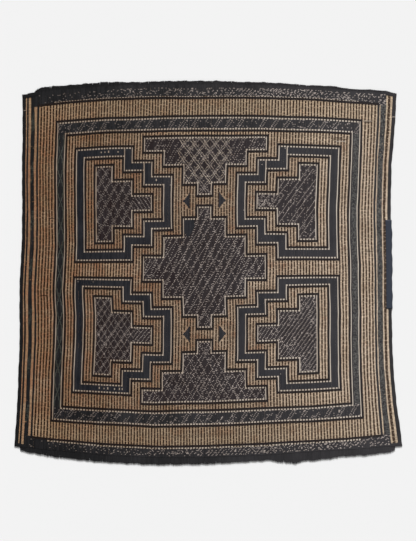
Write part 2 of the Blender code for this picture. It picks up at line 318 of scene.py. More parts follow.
def place(column, row):
    """The points of the uneven mat, in millimetres, at columns and rows."""
    column, row = np.broadcast_arrays(np.asarray(column, float), np.asarray(row, float))
    left_edge, left, right, right_edge = [between(SIDE_STATIONS, v, row) for v in SIDE_VALUES]
    share = (column - LEFT_EDGE_COLUMN) / (-BORDER_COLUMN - LEFT_EDGE_COLUMN)
    x_left = left_edge + (left - left_edge) * share
    share = (column - BORDER_COLUMN) / (RIGHT_EDGE_COLUMN - BORDER_COLUMN)
    x_right = right + (right_edge - right) * share
    x = left + (right - left) * between(CORD_COLUMNS, CORD_SHARES, column)
    x = np.where(column < -BORDER_COLUMN, x_left, np.where(column > BORDER_COLUMN, x_right, x))
    ys = np.stack([between(ROW_STATIONS, v, column) for v in ROW_VALUES])
    i = np.clip(np.searchsorted(ROWS_OF_LINES, row, side="right"), 1, 3)
    rows = np.asarray(ROWS_OF_LINES)
    low = np.take_along_axis(ys, (i - 1)[None], 0)[0]
    high = np.take_along_axis(ys, i[None], 0)[0]
    y = low + (high - low) * (row - rows[i - 1]) / (rows[i] - rows[i - 1])
    return x, y


def woven(column, row):
    """place() with the small wander of hand work, the same for the reeds and for what crosses them."""
    x, y = place(column, row)
    x = x + 0.45 * np.sin(row / 41 + column * 1.9) + 0.35 * np.sin(row / 17 + column * 0.83)
    y = y + 0.6 * np.sin(column / 4.3 + row / 63) + 0.5 * np.sin(column / 9.1 - row / 29)
    return x, y


# The draft: which reeds each thong covers

REED_PITCH = 3.2

# How many reeds' widths the upper end band is worked past the last reed
END_REEDS_BEYOND = 5

# How much lower the upper left figure lies than the right one, in millimetres
LEFT_DROP = 3.4

# The mat's reeds and thongs, counted from the middle, and where the middle of each cell lies
FIRST_REED = math.ceil(BOTTOM_ROW / REED_PITCH)
LAST_REED = math.floor(TOP_ROW / REED_PITCH)
FIRST_THONG = round(3 * LEFT_COLUMN) + 1
LAST_THONG = 3 * math.floor(RIGHT_COLUMN)
THONGS = np.arange(FIRST_THONG, LAST_THONG + 1)
REEDS = np.arange(FIRST_REED, LAST_REED + END_REEDS_BEYOND + 1)
T = THONGS[:, None]
K = REEDS[None, :]
ROW = K * REED_PITCH
COLUMN = (THONGS // 3 + np.array(THONG_PLACES)[THONGS % 3])[:, None]

# Where the border runs across the mat, and not up its sides
ACROSS = (ROW > BORDER_INNER_TOP) | (ROW < BORDER_INNER_BOTTOM)


def empty():
    """A mask that covers no cells."""
    return np.zeros((len(THONGS), len(REEDS)), bool)


def among(places, ends):
    """Where the columns or thongs lie from the first to the last of two ends, both included."""
    return (places >= ends[0]) & (places <= ends[1])


def cells(left, right, low, high):
    """The cells of a box between two cords and two dark lines, both included."""
    return (T >= 3 * left) & (T <= 3 * right) & (ROW >= low - HALF_LINE) & (ROW <= high + HALF_LINE)


def opening(left, right, low, high):
    """The cells inside a box, without the cords and dark lines around it."""
    return (T > 3 * left) & (T < 3 * right) & (ROW > low + HALF_LINE) & (ROW < high - HALF_LINE)


def moved(mask, thongs, reeds):
    """The mask moved by some thongs and reeds, with nothing coming in at the edges."""
    out = np.zeros_like(mask)
    wide, high = mask.shape
    out[max(thongs, 0):wide + min(thongs, 0), max(reeds, 0):high + min(reeds, 0)] = mask[
        max(-thongs, 0):wide + min(-thongs, 0), max(-reeds, 0):high + min(-reeds, 0)
    ]
    return out


def drawn_in(mask, thongs, reeds):
    """The mask without its outermost thongs and reeds on every side."""
    kept = mask.copy()
    for i in range(1, thongs + 1):
        kept &= moved(mask, i, 0) & moved(mask, -i, 0)
    inner = kept.copy()
    for i in range(1, reeds + 1):
        inner &= moved(kept, 0, i) & moved(kept, 0, -i)
    return inner


def side_boxes(columns, rows):
    """A side figure as boxes, from its straight side and its steps."""
    outer, *steps = columns
    return [(step, outer, lower, upper) for step, (upper, lower) in zip(steps, zip(rows[:3], rows[:2:-1]))]


def joined(boxes, shape, mirrored=False):
    """All the cells of some boxes, on the left side of the mat where mirrored."""
    out = empty()
    for left, right, low, high in boxes:
        out |= shape(-right, -left, low, high) if mirrored else shape(left, right, low, high)
    return out


def slanting(reeds, thongs, shift=0):
    """Openings one reed high on slanting lines, some reeds apart up a thong and some thongs apart."""
    return (K - np.round(reeds * (T + 0.5) / thongs).astype(int) + shift) % reeds == 0


def lenses(middle, half, period):
    """Two lines that swing about a thong against each other, and leave pointed shapes between them."""
    swing = half * np.sin(2 * np.pi * ROW / period)
    return (np.abs(T - middle - swing) < 0.6) | (np.abs(T - middle + swing) < 0.6)


def striped(reeds, thongs, share):
    """Slanting stripes, some reeds apart up a thong and some thongs apart, that fill a share of the area."""
    return (K - reeds * (T + 0.5) / thongs) % reeds < reeds * share


def speckled(share, seed):
    """Openings scattered at random over a share of the cells, or a share for each cell."""
    rng = np.random.default_rng(seed)
    return rng.random((len(THONGS), len(REEDS))) < share


def stitched(seed):
    """Long and short stitches up every thong, with one reed left bare after each."""
    rng = np.random.default_rng(seed)
    ends = np.cumsum(rng.choice(STITCH_REEDS, (len(THONGS), len(REEDS))) + 1, axis=1)
    ends -= rng.integers(0, 5, (len(THONGS), 1))
    bare = empty()
    inside = (ends >= 0) & (ends < len(REEDS))
    thong, _ = np.nonzero(inside)
    bare[thong, ends[inside]] = True
    return ~bare


def outlined(area):
    """The dark line round an area, the cords over its light line, that light line, and the rest."""
    inside = drawn_in(area, DARK_THONGS, DARK_REEDS)
    field = drawn_in(inside, LIGHT_THONGS, LIGHT_REEDS)
    upright = inside & ~drawn_in(inside, LIGHT_THONGS, 0)
    dotted = inside & ~field & ~upright
    return area & ~inside, dotted & (T % 3 == 0), upright | dotted & (T % 3 != 0), field


class Draft:
    """For each kind of leather, the cells that it covers."""

    def __init__(self):
        self.parts = {kind: empty() for kind in LEATHERS}
        self.taken = empty()
        self.middle_figures()
        self.side_figures()
        self.border()
        self.ends()
        self.sides()
        self.rubbed()
        self.wedges()
        self.joints()
        self.plain_piece()
        self.repairs()
        self.parts["cords"] |= ~self.taken & (T % 3 == 0) & stitched(9) & (ROW < TOP_ROW)
        self.covered = np.any(list(self.parts.values()), axis=0)

    def work(self, area, kind, openings, bright):
        """Works an area inside its dark and light lines, with bright or dull stitches in its openings."""
        dark, dots, light, field = outlined(area)
        self.parts["lines"] |= dark | dots
        self.parts["light"] |= light | field & openings & bright
        self.parts["specks"] |= field & openings & ~bright
        self.parts[kind] |= field & ~openings
        self.taken |= area

    def middle_figures(self):
        """The figures on the centre line, the upper one with crossed lines and bright stitches."""
        centre = np.abs(COLUMN) < CROSSED_HALF
        crossed = slanting(20, 11) | slanting(20, 11, 4) | slanting(20, -11) | slanting(20, -11, 5)
        top = crossed & centre | slanting(8, 3) & striped(26, 11, 0.6) & ~centre | speckled(0.03, 1)
        middle = slanting(24, 7) | slanting(18, 9, 3) | slanting(24, 7, 3) & striped(60, 26, 0.5)
        middle = middle | slanting(48, -15) | speckled(0.03, 2)
        bottom = slanting(9, 4) & striped(24, 10, 0.65) | slanting(22, -9) | speckled(0.05, 3)
        bright = centre & (ROW > BRIGHT_ROWS[0]) & (ROW < BRIGHT_ROWS[1]) & ~speckled(0.3, 24)
        for steps, openings in zip(MIDDLE_FIGURES, (top, middle, bottom)):
            boxes = [(-half, half, low, high) for half, high, low in steps]
            self.work(joined(boxes, cells), "fields", openings, bright)

    def side_figures(self):
        """The stepped bands on both sides and the figures inside them."""
        tip = np.abs(COLUMN) < TIP_COLUMN
        crossed = slanting(22, 9) | slanting(22, 9, 4) | slanting(22, -9, 6)
        leaning = slanting(10, 5) & striped(36, 14, 0.7) | speckled(0.05, 5)
        lozenges = slanting(14, 7) | slanting(14, -7) | slanting(28, 14, 3)
        upper_right = leaning | tip & speckled(0.2, 12)
        upper_left = crossed & ~tip | tip & slanting(8, -4) | speckled(0.02, 13)
        lower_right = slanting(8, 4) | speckled(0.06, 14)
        lower_left = lozenges & ~tip | tip & slanting(7, 4) | speckled(0.02, 15)
        weaves = ((upper_right, upper_left), (lower_right, lower_left))
        for figure_rows, (right_open, left_open) in zip(SIDE_ROWS, weaves):
            for mirrored, openings in ((False, right_open), (True, left_open)):
                drop = LEFT_DROP if mirrored and figure_rows[0][0] > 0 else 0.0
                rows = [[row - drop for row in line] for line in figure_rows]
                outer = joined(side_boxes(SIDE_OUTER, rows[0]), cells, mirrored)
                inner = joined(side_boxes(SIDE_INNER, rows[1]), opening, mirrored)
                self.work(outer & ~inner, "bands", speckled(0.001, 4), empty())
                middle = joined(side_boxes(SIDE_MEDALLION, rows[2]), cells, mirrored)
                self.work(middle, "fields", openings, empty())

    def border(self):
        """The broad border, with leaning stitches along its two ends."""
        outer = cells(-BORDER_COLUMN, BORDER_COLUMN, BORDER_OUTER_BOTTOM, BORDER_OUTER_TOP)
        sides = (-BORDER_INNER_COLUMN, BORDER_INNER_COLUMN)
        inner = opening(*sides, BORDER_INNER_BOTTOM, BORDER_INNER_TOP)
        pairs = (slanting(26, 12) | slanting(26, 12, 6)) & striped(52, 48, 0.8) | speckled(0.04, 6)
        self.work(outer & ~inner, "border", pairs & ACROSS, empty())

    def ends(self):
        """The bands at the mat's ends, with a dark line, a dotted line and scattered stitches."""
        beyond = TOP_ROW + END_REEDS_BEYOND * REED_PITCH
        wide = (ROW > END_BAND_TOP - HALF_LINE) & (ROW < beyond)
        wide = wide | (ROW < END_BAND_BOTTOM + HALF_LINE) & (ROW > BOTTOM_ROW)
        wide = wide & among(T / 3, END_COLUMNS)
        line = wide & (ROW < END_BAND_TOP + HALF_LINE) & (ROW > END_BAND_BOTTOM - HALF_LINE)
        line = line & among(T / 3, END_LINE_COLUMNS)
        above = ROW - END_BAND_TOP - HALF_LINE
        below = END_BAND_BOTTOM - HALF_LINE - ROW
        dotted = (above >= 0) & (above < 5) | (below >= 0) & (below < 7)
        dotted = dotted & wide & ~line & among(T / 3, END_DOT_COLUMNS)
        rest = wide & ~line & ~dotted
        inner = np.where(ROW > 0, ROW < WORKED_ROWS[1], ROW > WORKED_ROWS[0])
        worked = between(WORKED_STATIONS, WORKED_SHARES, COLUMN) * inner
        specks = slanting(6, 4) & speckled(worked, 7) | speckled(worked * 0.2, 17)
        self.parts["lines"] |= line | dotted & (T % 3 == 0)
        self.parts["light"] |= dotted & (T % 3 != 0) & speckled(0.8, 18)
        self.parts["ends"] |= rest & ~specks
        self.parts["specks"] |= rest & specks
        self.taken |= wide

    def sides(self):
        """The leather stripes and brown stitches between the border and the bindings."""
        free = ~self.taken & (ROW < TOP_ROW)
        for band in SIDE_BANDS:
            self.parts["sides"] |= among(COLUMN, band) & free & ~speckled(0.012, 8)
        self.parts["cords"] |= among(COLUMN, BROWN_BAND) & free & stitched(23)
        self.taken |= ~among(COLUMN, INSIDE_COLUMNS)

    def rubbed(self):
        """Takes the leather that is rubbed down to grey out of the border and the side bands."""
        leather = self.parts["border"] & ~ACROSS | self.parts["sides"]
        right = among(COLUMN, RUBBED_RIGHT) & ~among(COLUMN, KEPT_RIGHT) & speckled(0.5, 16)
        left = among(COLUMN, RUBBED_LEFT) & speckled(0.5, 19) & striped(70, 20, 0.35)
        swinging = (COLUMN < -BORDER_INNER_COLUMN) & lenses(3 * SWING_COLUMN, 2.9, 216.0)
        self.parts["rubbed"] |= leather & (right | left | swinging)
        for kind in ("border", "sides"):
            self.parts[kind] &= ~self.parts["rubbed"]

    def wedges(self):
        """Four pointed wedges in the gaps between the figures on the centre line."""
        base, point = WEDGE_COLUMNS
        for middle_row in WEDGE_ROWS:
            share = np.clip((np.abs(COLUMN) - base) / (point - base), -1, 1)
            off = np.abs(ROW - middle_row)
            self.parts["bands"] |= (share > -0.1) & (off < WEDGE_HALF * (1 - np.maximum(share, 0)) ** 1.25)
            self.taken |= (share > -0.1) & (off < WEDGE_HALF * (1.15 - share) + 3) & (share < 1)

    def joints(self):
        """Light lines where the upper bands are joined."""
        for side, drop in ((-1, LEFT_DROP), (1, 0.0)):
            for column, inner_row, outer_row in JOINTS:
                joint = (ROW > inner_row - drop) & (ROW < outer_row - drop - HALF_LINE)
                joint = joint & (side * T == 3 * column - 2)
                self.parts["light"] |= joint & self.parts["bands"]
                self.parts["bands"] &= ~joint

    def plain_piece(self):
        """A plain dark piece let into the middle figure."""
        low, high = PLAIN_ROWS
        narrowing = np.clip((ROW - low) / (high - low) * 1.7, 0, 1)
        plain = (np.abs(COLUMN - PLAIN_COLUMN) < PLAIN_HALF * narrowing) & (ROW < high)
        plain &= self.parts["fields"] | self.parts["specks"]
        for kind in ("fields", "specks"):
            self.parts[kind] &= ~plain
        self.parts["bands"] |= plain

    def repairs(self):
        """Single pale stitches in the left bands."""
        for column, row in REPAIRS:
            dot = (np.abs(COLUMN - column) < 0.12) & (np.abs(ROW - row) < REED_PITCH * 1.2)
            self.parts["light"] |= dot
            self.parts["bands"] &= ~dot


# Paths that the reeds and thongs follow, and the node trees that turn them into reeds and thongs

LONGEST_STRAIGHT = 45.0
LAID_SHORT = 0.15

# How a thong's end goes down between two reeds, in millimetres
DIVE_LENGTH = 0.5
DIVE_OVERLAP = 0.35
DIVE_DEPTH = 1.7


def placed(name, data):
    """A new object in the scene, at the origin."""
    made = bpy.data.objects.new(name, data)
    bpy.context.scene.collection.objects.link(made)
    return made


def wires(name, paths):
    """An object of bare lines from (points, half widths, tones, line numbers) of equally long paths."""
    points, edges, halves, tones, numbers = [], [], [], [], []
    count = 0
    for at, half, tone, number in paths:
        many, each = at.shape[:2]
        points.append(at.reshape(-1, 3))
        halves.append(np.broadcast_to(half, (many, each)).ravel())
        tones.append(np.repeat(tone, each))
        numbers.append(np.repeat(number, each))
        first = count + np.arange(many * each).reshape(many, each)
        edges.append(np.stack([first[:, :-1].ravel(), first[:, 1:].ravel()], 1))
        count += many * each
    data = bpy.data.meshes.new(name)
    data.vertices.add(count)
    data.vertices.foreach_set("co", (np.concatenate(points) * MM).ravel().astype(np.float32))
    edges = np.concatenate(edges)
    data.edges.add(len(edges))
    data.edges.foreach_set("vertices", edges.ravel().astype(np.int32))
    for key, values in (("half_width", np.concatenate(halves) * MM), ("tone", np.concatenate(tones)),
                        ("line", np.concatenate(numbers))):
        layer = data.attributes.new(key, "FLOAT", "POINT")
        layer.data.foreach_set("value", values.astype(np.float32))
    return placed(name, data)


def bare_beside(covered, side, thong, start, end):
    """Whether most of the cells at one side of each run are bare, so that the thong spreads there."""
    bare = np.cumsum(np.pad(~moved(covered, -side, 0), ((0, 0), (1, 0))), axis=1)
    return (bare[thong, end] - bare[thong, start]) > 0.55 * (end - start)


def thong_paths(mask, covered, top, seed, spread=SPREAD, below=False, laid=False):
    """A path over each unbroken run of covered cells. Unless laid on, its ends go down between the reeds."""
    rng = np.random.default_rng(seed)
    change = np.diff(np.pad(mask, ((0, 0), (1, 1))).astype(np.int8), axis=1)
    thong, start = np.nonzero(change == 1)
    end = np.nonzero(change == -1)[1]
    right_more = bare_beside(covered, 1, thong, start, end) * spread
    left_more = bare_beside(covered, -1, thong, start, end) * spread
    reach = -LAID_SHORT if laid else DIVE_OVERLAP
    low = (REEDS[0] + start - 0.5) * REED_PITCH - reach
    high = (REEDS[0] + end - 0.5) * REED_PITCH + reach
    pieces = np.maximum(1, np.ceil((high - low) / LONGEST_STRAIGHT)).astype(int)
    sink = -DIVE_DEPTH if not below else DIVE_DEPTH * 0.5
    paths = []
    for many in np.unique(pieces):
        which = pieces == many
        shares = np.linspace(0, 1, many + 1)[None, :]
        a, b, m = low[which, None], high[which, None], thong[which]
        if laid:
            rows = a + (b - a) * shares
        else:
            rows = np.concatenate([a, a + DIVE_LENGTH + (b - a - 2 * DIVE_LENGTH) * shares, b], 1)
        column = np.broadcast_to(COLUMN[m], rows.shape)
        x, y = woven(column, rows)
        lift = rng.uniform(-0.12, 0.12, (len(m), 1))
        z = np.full(rows.shape, float(top)) + lift
        if not laid:
            z[:, [0, -1]] += sink
        pitch = woven(column + 0.5, rows)[0] - woven(column - 0.5, rows)[0]
        right, left = right_more[which, None], left_more[which, None]
        half = (np.array(THONG_HALVES)[THONGS[m] % 3][:, None] + (right + left) / 2) * pitch
        half = half * rng.uniform(0.95, 1.05, (len(m), 1))
        x = x + (right - left) / 2 * pitch + rng.uniform(-0.15, 0.15, (len(m), 1))
        paths.append((np.stack([x, y, z], 2), half, rng.random(len(m)), THONGS[m].astype(float)))
    return paths


def strap(points, half, top, seed):
    """One path through some points, in millimetres, for a strap of even width."""
    x, y = [np.array([float(point[i]) for point in points]) for i in (0, 1)]
    at = np.stack([x, y, np.full(len(x), float(top))], 1)[None]
    return at, np.full((1, len(x)), float(half)), np.array([0.5]), np.array([float(seed)])


def add_node(tree, kind, settings, sockets):
    """A new node with its settings made and its sockets linked or given values."""
    node = tree.nodes.new(kind)
    for key, value in (settings or {}).items():
        setattr(node, key, value)
    for key, value in (sockets or {}).items():
        feed(tree, node.inputs[key], value)
    return node


def feed(tree, socket, value):
    """Links a socket or a Value into a socket, or gives it a plain value."""
    value = getattr(value, "socket", value)
    if isinstance(value, bpy.types.NodeSocket):
        tree.links.new(value, socket)
    else:
        socket.default_value = value


class Tree:
    """A geometry node tree with named inputs, whose nodes come from one method."""

    def __init__(self, name, inputs):
        self.group = bpy.data.node_groups.new(name, "GeometryNodeTree")
        face = self.group.interface
        face.new_socket("Geometry", in_out="INPUT", socket_type="NodeSocketGeometry")
        for label, kind in inputs:
            face.new_socket(label, in_out="INPUT", socket_type=kind)
        face.new_socket("Geometry", in_out="OUTPUT", socket_type="NodeSocketGeometry")
        self.given = self.group.nodes.new("NodeGroupInput")
        self.result = self.group.nodes.new("NodeGroupOutput")

    def input(self, name):
        return self.given.outputs[name]

    def add(self, kind, settings=None, sockets=None):
        return add_node(self.group, kind, settings, sockets).outputs[0]

    def finish(self, geometry, material):
        geometry = self.add("GeometryNodeSetMaterial", None, {"Geometry": geometry, "Material": material})
        geometry = self.add("GeometryNodeRealizeInstances", None, {"Geometry": geometry})
        self.group.links.new(geometry, self.result.inputs["Geometry"])
        return self.group


def swept(tree, section, closed):
    """A section swept along the input's bare lines, kept upright and as wide as their half width says."""
    curve = tree.add("GeometryNodeMeshToCurve", None, {"Mesh": tree.input("Geometry")})
    curve = tree.add("GeometryNodeSetCurveNormal", {"mode": "Z_UP"}, {"Curve": curve})
    half = tree.add("GeometryNodeInputNamedAttribute", {"data_type": "FLOAT"}, {"Name": "half_width"})
    return tree.add("GeometryNodeCurveToMesh", None, {
        "Curve": curve, "Profile Curve": section, "Scale": half, "Fill Caps": closed,
    })


def reed_tree():
    """Round stalks along the input's lines, a little flattened, with closed ends."""
    tree = Tree("Reeds along lines", (
        ("Sides", "NodeSocketInt"), ("Flatness", "NodeSocketVector"), ("Material", "NodeSocketMaterial"),
    ))
    ring = tree.add("GeometryNodeCurvePrimitiveCircle", {"mode": "RADIUS"}, {
        "Resolution": tree.input("Sides"), "Radius": 1.0,
    })
    ring = tree.add("GeometryNodeTransform", None, {"Geometry": ring, "Scale": tree.input("Flatness")})
    return tree.finish(swept(tree, ring, True), tree.input("Material"))


def thong_tree():
    """Flat leather thongs along the input's lines, with a slight crown on the side that shows."""
    tree = Tree("Thongs along lines", (
        ("Section", "NodeSocketVector"), ("Material", "NodeSocketMaterial"),
    ))
    section = tree.add("GeometryNodeCurvePrimitiveBezierSegment", {"mode": "POSITION"}, {
        "Resolution": 2, "Start": (-1.0, 0.0, 0.0), "Start Handle": (0.0, -1.0, 0.0),
        "End Handle": (0.0, -1.0, 0.0), "End": (1.0, 0.0, 0.0),
    })
    section = tree.add("GeometryNodeTransform", None, {"Geometry": section, "Scale": tree.input("Section")})
    return tree.finish(swept(tree, section, False), tree.input("Material"))


def grown(name, paths, group, inputs):
    """A plain mesh object that a node tree makes along some paths."""
    lines = wires(name, paths)
    modifier = lines.modifiers.new("Make", "NODES")
    modifier.node_group = group
    for item in group.interface.items_tree:
        if item.item_type == "SOCKET" and item.in_out == "INPUT" and item.name in inputs:
            modifier[item.identifier] = inputs[item.name]
    graph = bpy.context.evaluated_depsgraph_get()
    mesh = bpy.data.meshes.new_from_object(lines.evaluated_get(graph), depsgraph=graph)
    lines.modifiers.clear()
    old = lines.data
    lines.data = mesh
    mesh.name = name
    bpy.data.meshes.remove(old)
    mesh.shade_smooth()
    return lines


def creased(piece):
    """Sharpens the edges of a thong's steep quads, so that its flat length is shaded flat."""
    mesh = piece.data
    normals = np.zeros(len(mesh.polygons) * 3, np.float32)
    mesh.polygons.foreach_get("normal", normals)
    edges = np.zeros(len(mesh.loops), np.int32)
    mesh.loops.foreach_get("edge_index", edges)
    sharp = np.zeros(len(mesh.edges), bool)
    sharp[edges.reshape(-1, 4)[np.abs(normals[2::3]) < 0.7]] = True
    mesh.attributes.new("sharp_edge", "BOOLEAN", "EDGE").data.foreach_set("value", sharp)
    return piece


# Finishes


class Value:
    """A socket of a finish, so that sums on it read as plain arithmetic."""

    def __init__(self, finish, socket):
        self.finish = finish
        self.socket = socket


def arithmetic(operation, reflected=False):
    """A method of Value that adds a Math node, with the value second where it is reflected."""
    def method(self, other):
        first, second = (other, self) if reflected else (self, other)
        return self.finish.add("ShaderNodeMath", {"operation": operation}, {0: first, 1: second})
    return method


for sign, operation in (("add", "ADD"), ("sub", "SUBTRACT"), ("mul", "MULTIPLY")):
    setattr(Value, f"__{sign}__", arithmetic(operation))
    setattr(Value, f"__r{sign}__", arithmetic(operation, True))


class Finish:
    """A material whose nodes come from one method."""

    def __init__(self, name, roughness=0.6, gloss=0.12):
        self.material = bpy.data.materials.new(name)
        self.material.use_nodes = True
        self.tree = self.material.node_tree
        self.inputs = self.tree.nodes["Principled BSDF"].inputs
        self.inputs["Roughness"].default_value = roughness
        self.inputs["Specular IOR Level"].default_value = gloss

    def add(self, kind, settings=None, sockets=None, out=0):
        return Value(self, add_node(self.tree, kind, settings, sockets).outputs[out])

    def spot(self):
        """The point on the piece, in metres."""
        return self.add("ShaderNodeTexCoord", out="Object")

    def apart(self, vector):
        """A vector's three parts."""
        first = self.add("ShaderNodeSeparateXYZ", None, {0: vector})
        node = first.socket.node
        return [Value(self, node.outputs[i]) for i in range(3)]

    def vector(self, x, y, z=0.0):
        return self.add("ShaderNodeCombineXYZ", None, {0: x, 1: y, 2: z})

    def attribute(self, name):
        return self.add("ShaderNodeAttribute", {"attribute_name": name}, out="Fac")

    def noise(self, vector, scale, detail=2.0, rough=0.5):
        return self.add("ShaderNodeTexNoise", None, {
            "Vector": vector, "Scale": scale, "Detail": detail, "Roughness": rough,
        }, out="Fac")

    def spread(self, value, low, high, to_low=0.0, to_high=1.0):
        """A value's range between low and high, stretched to another range and held inside it."""
        return self.add("ShaderNodeMapRange", {"clamp": True}, {
            "Value": value, "From Min": low, "From Max": high, "To Min": to_low, "To Max": to_high,
        })

    def mix(self, share, first, second, blend="MIX"):
        """A colour between two colours."""
        sockets = {0: share, 6: self.solid(first), 7: self.solid(second)}
        return self.add("ShaderNodeMix", {"data_type": "RGBA", "blend_type": blend}, sockets, out=2)

    def solid(self, colour):
        return colour if isinstance(colour, Value) else (*colour[:3], 1.0)

    def dimmed(self, colour, value):
        """A colour made darker or lighter by a value."""
        grey = self.add("ShaderNodeCombineColor", None, {0: value, 1: value, 2: value})
        return self.mix(1.0, colour, grey, "MULTIPLY")

    def shade(self, colour, roughness=None, height=None, depth=0.0005, strength=1.0):
        """The material, with what varies over its surface fed into the shader."""
        feed(self.tree, self.inputs["Base Color"], colour)
        if roughness is not None:
            feed(self.tree, self.inputs["Roughness"], roughness)
        if height is not None:
            sockets = {"Height": height, "Distance": depth, "Strength": strength}
            feed(self.tree, self.inputs["Normal"], self.add("ShaderNodeBump", None, sockets))
        return self.material


def reed_finish(colours):
    """Dry reed stalks: each with its own tone, fibres along it, stains from use, a left-to-right ramp that is
    partly staining and partly painted light falloff, and darker towards the bottom end.
    """
    f = Finish("dry_reed", 0.62)
    x, y, z = f.apart(f.spot())
    tone, line = f.attribute("tone"), f.attribute("line")
    along = f.vector(x * 6.0, line * 3.17)
    streak = f.noise(along, 1.0, 2.0)
    fibre = f.noise(f.vector(x * 60.0, y * 2600.0, z * 2600.0), 1.0, 2.0)
    blotch = f.noise(f.vector(x, y), 7.0, 3.0, 0.6)
    bead = f.spread(f.noise(f.vector(x * 95.0, line * 5.1), 1.0, 1.0), 0.33, 0.67)
    fine = f.noise(f.vector(x, y), 38.0, 2.0)
    # A ramp across the mat, darker to the left and lighter to the right: partly painted light falloff, partly
    # staining.
    painted_falloff = f.spread(x, -0.75, 0.75)
    # How dry the reed looks: real stain blotches together with the painted light falloff, darker and warmer to
    # the left.
    dry_and_lit = f.spread(painted_falloff * 0.75 + blotch * 0.9 - 0.45, 0.0, 0.8)
    colour = f.mix(dry_and_lit, tuple(colours.reed_stained), tuple(colours.reed_dry))
    patches = f.noise(f.vector(x + 3.1, y), 11.0, 3.0, 0.6)
    red = f.spread(fine * 0.5 + patches * 0.7 + (0.5 - painted_falloff) * 0.2, 0.58, 0.78)
    colour = f.mix(red * 0.6, colour, tuple(colours.reed_red))
    off = y * y
    yellow = f.spread(off + blotch * 0.25, 0.40, 0.70)
    colour = f.mix(yellow * 0.35, colour, tuple(colours.reed_yellow))
    light = 0.45 + tone * 0.25 + streak * 0.25 + fibre * 0.12 + bead * 0.5
    # Darker towards the bottom end.
    light = light * f.spread(y, -0.85, -0.45, 0.82, 1.0)
    aside = (x + 0.15) * (x + 0.15) + f.spread(off, 0.0, 0.004, 0.3, 0.0)
    light = light * f.spread(aside, 0.1, 0.35, 0.9, 1.06)
    clean = f.spread((y - 0.618) * (y - 0.618), 0.0002, 0.0006, 0.22, 0.0)
    light = light * (1.0 + clean * f.spread(x * x, 0.07, 0.1, 1.0, 0.0))
    colour = f.dimmed(colour, light)
    return f.shade(colour, f.spread(fibre, 0.3, 0.7, 0.5, 0.72), fibre, 0.0002, 0.5)


def leather_finish(name, colour, worn, roughness=0.55, share=0.5, lift=0.0, gloss=0.12):
    """Thin tanned leather: its own tone for each thong, rubbed grain, and paler and greyer towards the right
    side, partly from rubbed wear and partly as painted sheen.
    """
    f = Finish(name, roughness, gloss)
    x, y, z = f.apart(f.spot())
    tone, line = f.attribute("tone"), f.attribute("line")
    streak = f.noise(f.vector(line * 2.7, y * 26.0), 1.0, 2.0)
    blotch = f.noise(f.vector(x, y), 9.0, 3.0, 0.6)
    grain = f.noise(f.vector(x, y, z), 900.0, 3.0, 0.65)
    # A ramp across the mat that paints a sheen, paler and greyer to the right.
    painted_falloff = f.spread(x, -0.8, 0.8)
    # Rubbed wear from blotches, streaks and tone, together with the painted sheen that pales the leather
    # towards the right.
    rubbed = f.spread(painted_falloff * 0.75 + blotch * 0.6 + streak * 0.3 + tone * 0.2 + lift, 0.55, 1.35)
    mixed = f.mix(rubbed * share, colour, worn)
    mixed = f.dimmed(mixed, 0.75 + grain * 0.5)
    return f.shade(mixed, f.spread(grain, 0.3, 0.7, roughness - 0.08, roughness + 0.1), grain, 0.0003, 0.6)


# Bindings and patch

# The side bindings' section: share of the width from the reeds out, and height in millimetres
BINDING_SECTION = ((0.0, 0.5), (-0.05, 2.6), (0.0, 3.7), (0.2, 4.3), (0.5, 4.6), (0.8, 4.2), (0.97, 3.1),
                   (1.0, 2.0), (0.95, 0.9), (0.75, 0.2), (0.3, 0.05))
RING_STEP = 4.0


def lofted(name, rings, material):
    """A closed skin through rings of points, in millimetres, with its ends shut."""
    count = len(rings[0])
    points = [tuple(v * MM for v in p) for ring in rings for p in ring]
    faces = []
    for i in range(len(rings) - 1):
        for j in range(count):
            k = (j + 1) % count
            faces.append((i * count + j, i * count + k, (i + 1) * count + k, (i + 1) * count + j))
    faces.append(tuple(range(count - 1, -1, -1)))
    faces.append(tuple((len(rings) - 1) * count + j for j in range(count)))
    data = bpy.data.meshes.new(name)
    data.from_pydata(points, [], faces)
    work = bmesh.new()
    work.from_mesh(data)
    bmesh.ops.recalc_face_normals(work, faces=work.faces)
    work.to_mesh(data)
    work.free()
    data.materials.append(material)
    data.shade_smooth()
    return placed(name, data)


def binding_rings(columns, rows, seed, raise_by=0.0):
    """Rings up a side binding, from the reeds' column to the edge's column, a little uneven."""
    rng = np.random.default_rng(seed)
    phases = rng.uniform(0, 6.28, 6)
    rings = []
    for row in np.linspace(*rows, round((rows[1] - rows[0]) / RING_STEP)):
        (inner_x, outer_x), (inner_y, outer_y) = place(columns, row)
        width = outer_x - inner_x
        wave = 0.05 * math.sin(row / 23 + phases[0]) + 0.04 * math.sin(row / 9.3 + phases[1])
        swell = 1 + 0.05 * math.sin(row / 4.1 + phases[2]) + 0.03 * math.sin(row / 13 + phases[3])
        ring = []
        for share, height in BINDING_SECTION:
            x = inner_x + width * (share + wave * (share > 0.6) * 0.8)
            y = inner_y + (outer_y - inner_y) * share
            ring.append((float(x), float(y), float(height * (0.94 + 0.06 * swell) + raise_by * (height > 1))))
        rings.append(ring)
    return rings


# Settings that a user may change


def colour_property(name, description, default):
    return FloatVectorProperty(name=name, description=description, default=default, subtype="COLOR",
                               size=3, min=0.0, max=1.0)


class MatSizes(bpy.types.PropertyGroup):
    """Sizes of the mat's reeds and thongs."""

    reed_width: FloatProperty(name="Reed width", description="Width of one reed", default=3.1 * MM,
                              unit="LENGTH", min=1 * MM, max=6 * MM)
    reed_thickness: FloatProperty(name="Reed thickness", description="Height of one reed", default=2.4 * MM,
                                  unit="LENGTH", min=1 * MM, max=6 * MM)
    reed_sides: IntProperty(name="Reed sides", description="Flat sides round one reed", default=6, min=4,
                            max=12)
    thong_crown: FloatProperty(name="Thong crown", description="How far a thong rises at its middle, as a "
                               "share of its half width", default=0.14, subtype="FACTOR", min=0, max=1)


